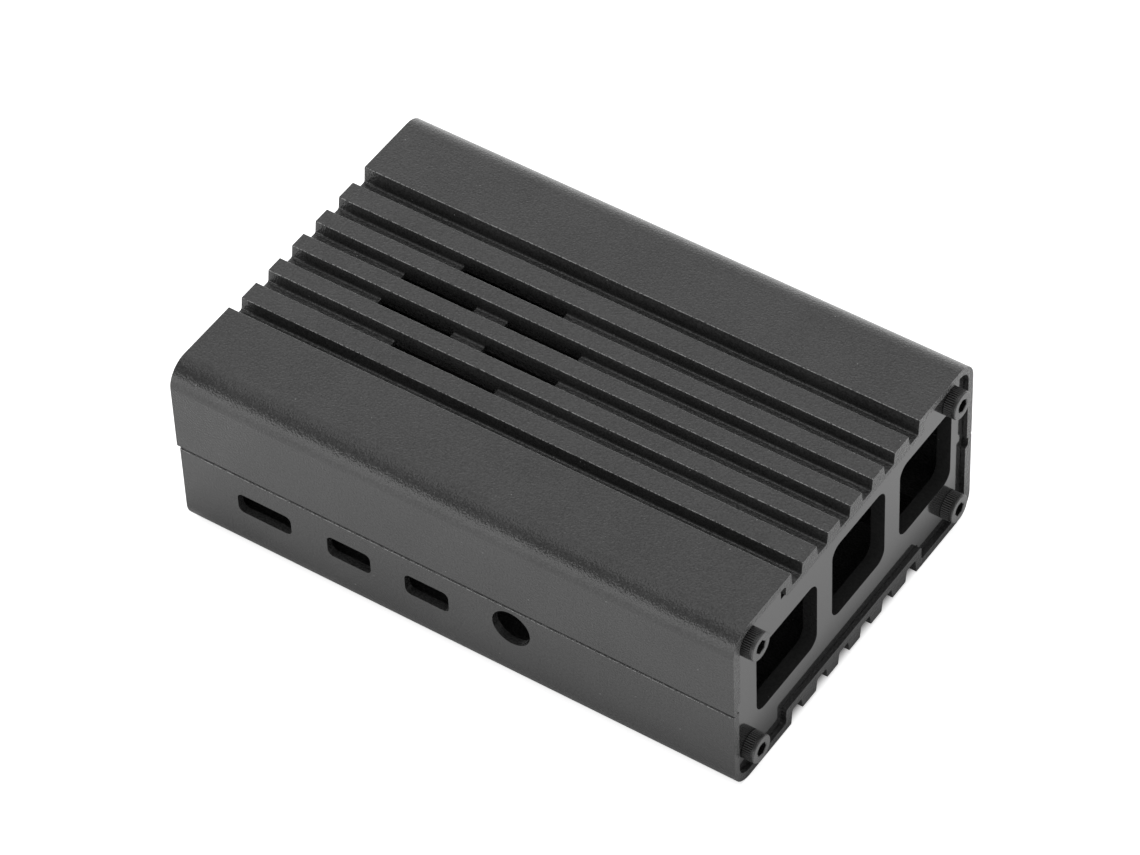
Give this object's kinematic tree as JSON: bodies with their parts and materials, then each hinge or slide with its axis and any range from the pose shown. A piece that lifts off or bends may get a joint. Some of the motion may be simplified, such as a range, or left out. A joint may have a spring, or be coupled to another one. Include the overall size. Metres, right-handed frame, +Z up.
{
  "type": "single board computer case",
  "caption": "Ribbed aluminium case in two half shells, closed by screwed end plates, that houses a single board computer and opens at its ports.",
  "frame": {"origin": "middle of the case, on the plane that its two lower flats stand on", "axes": "+X along the case towards the port end, +Y across it away from the side ports, +Z up"},
  "size_m": [0.0976, 0.063, 0.032],
  "materials": {
    "black_anodised": "bead blasted and anodised black, satin",
    "black_plate": "smooth black anodised, satin sheen",
    "black_oxide_steel": "black oxide, faint sheen"
  },
  "bodies": {
    "root": {"top_shell": "black_anodised", "bottom_shell": "black_anodised", "port_end_plate": "black_plate", "card_end_plate": "black_plate", "port_screw_near_top": "black_oxide_steel", "port_screw_near_bottom": "black_oxide_steel", "port_screw_far_top": "black_oxide_steel", "port_screw_far_bottom": "black_oxide_steel", "card_screw_near_top": "black_oxide_steel", "card_screw_near_bottom": "black_oxide_steel", "card_screw_far_top": "black_oxide_steel", "card_screw_far_bottom": "black_oxide_steel"}
  },
  "joints": []
}
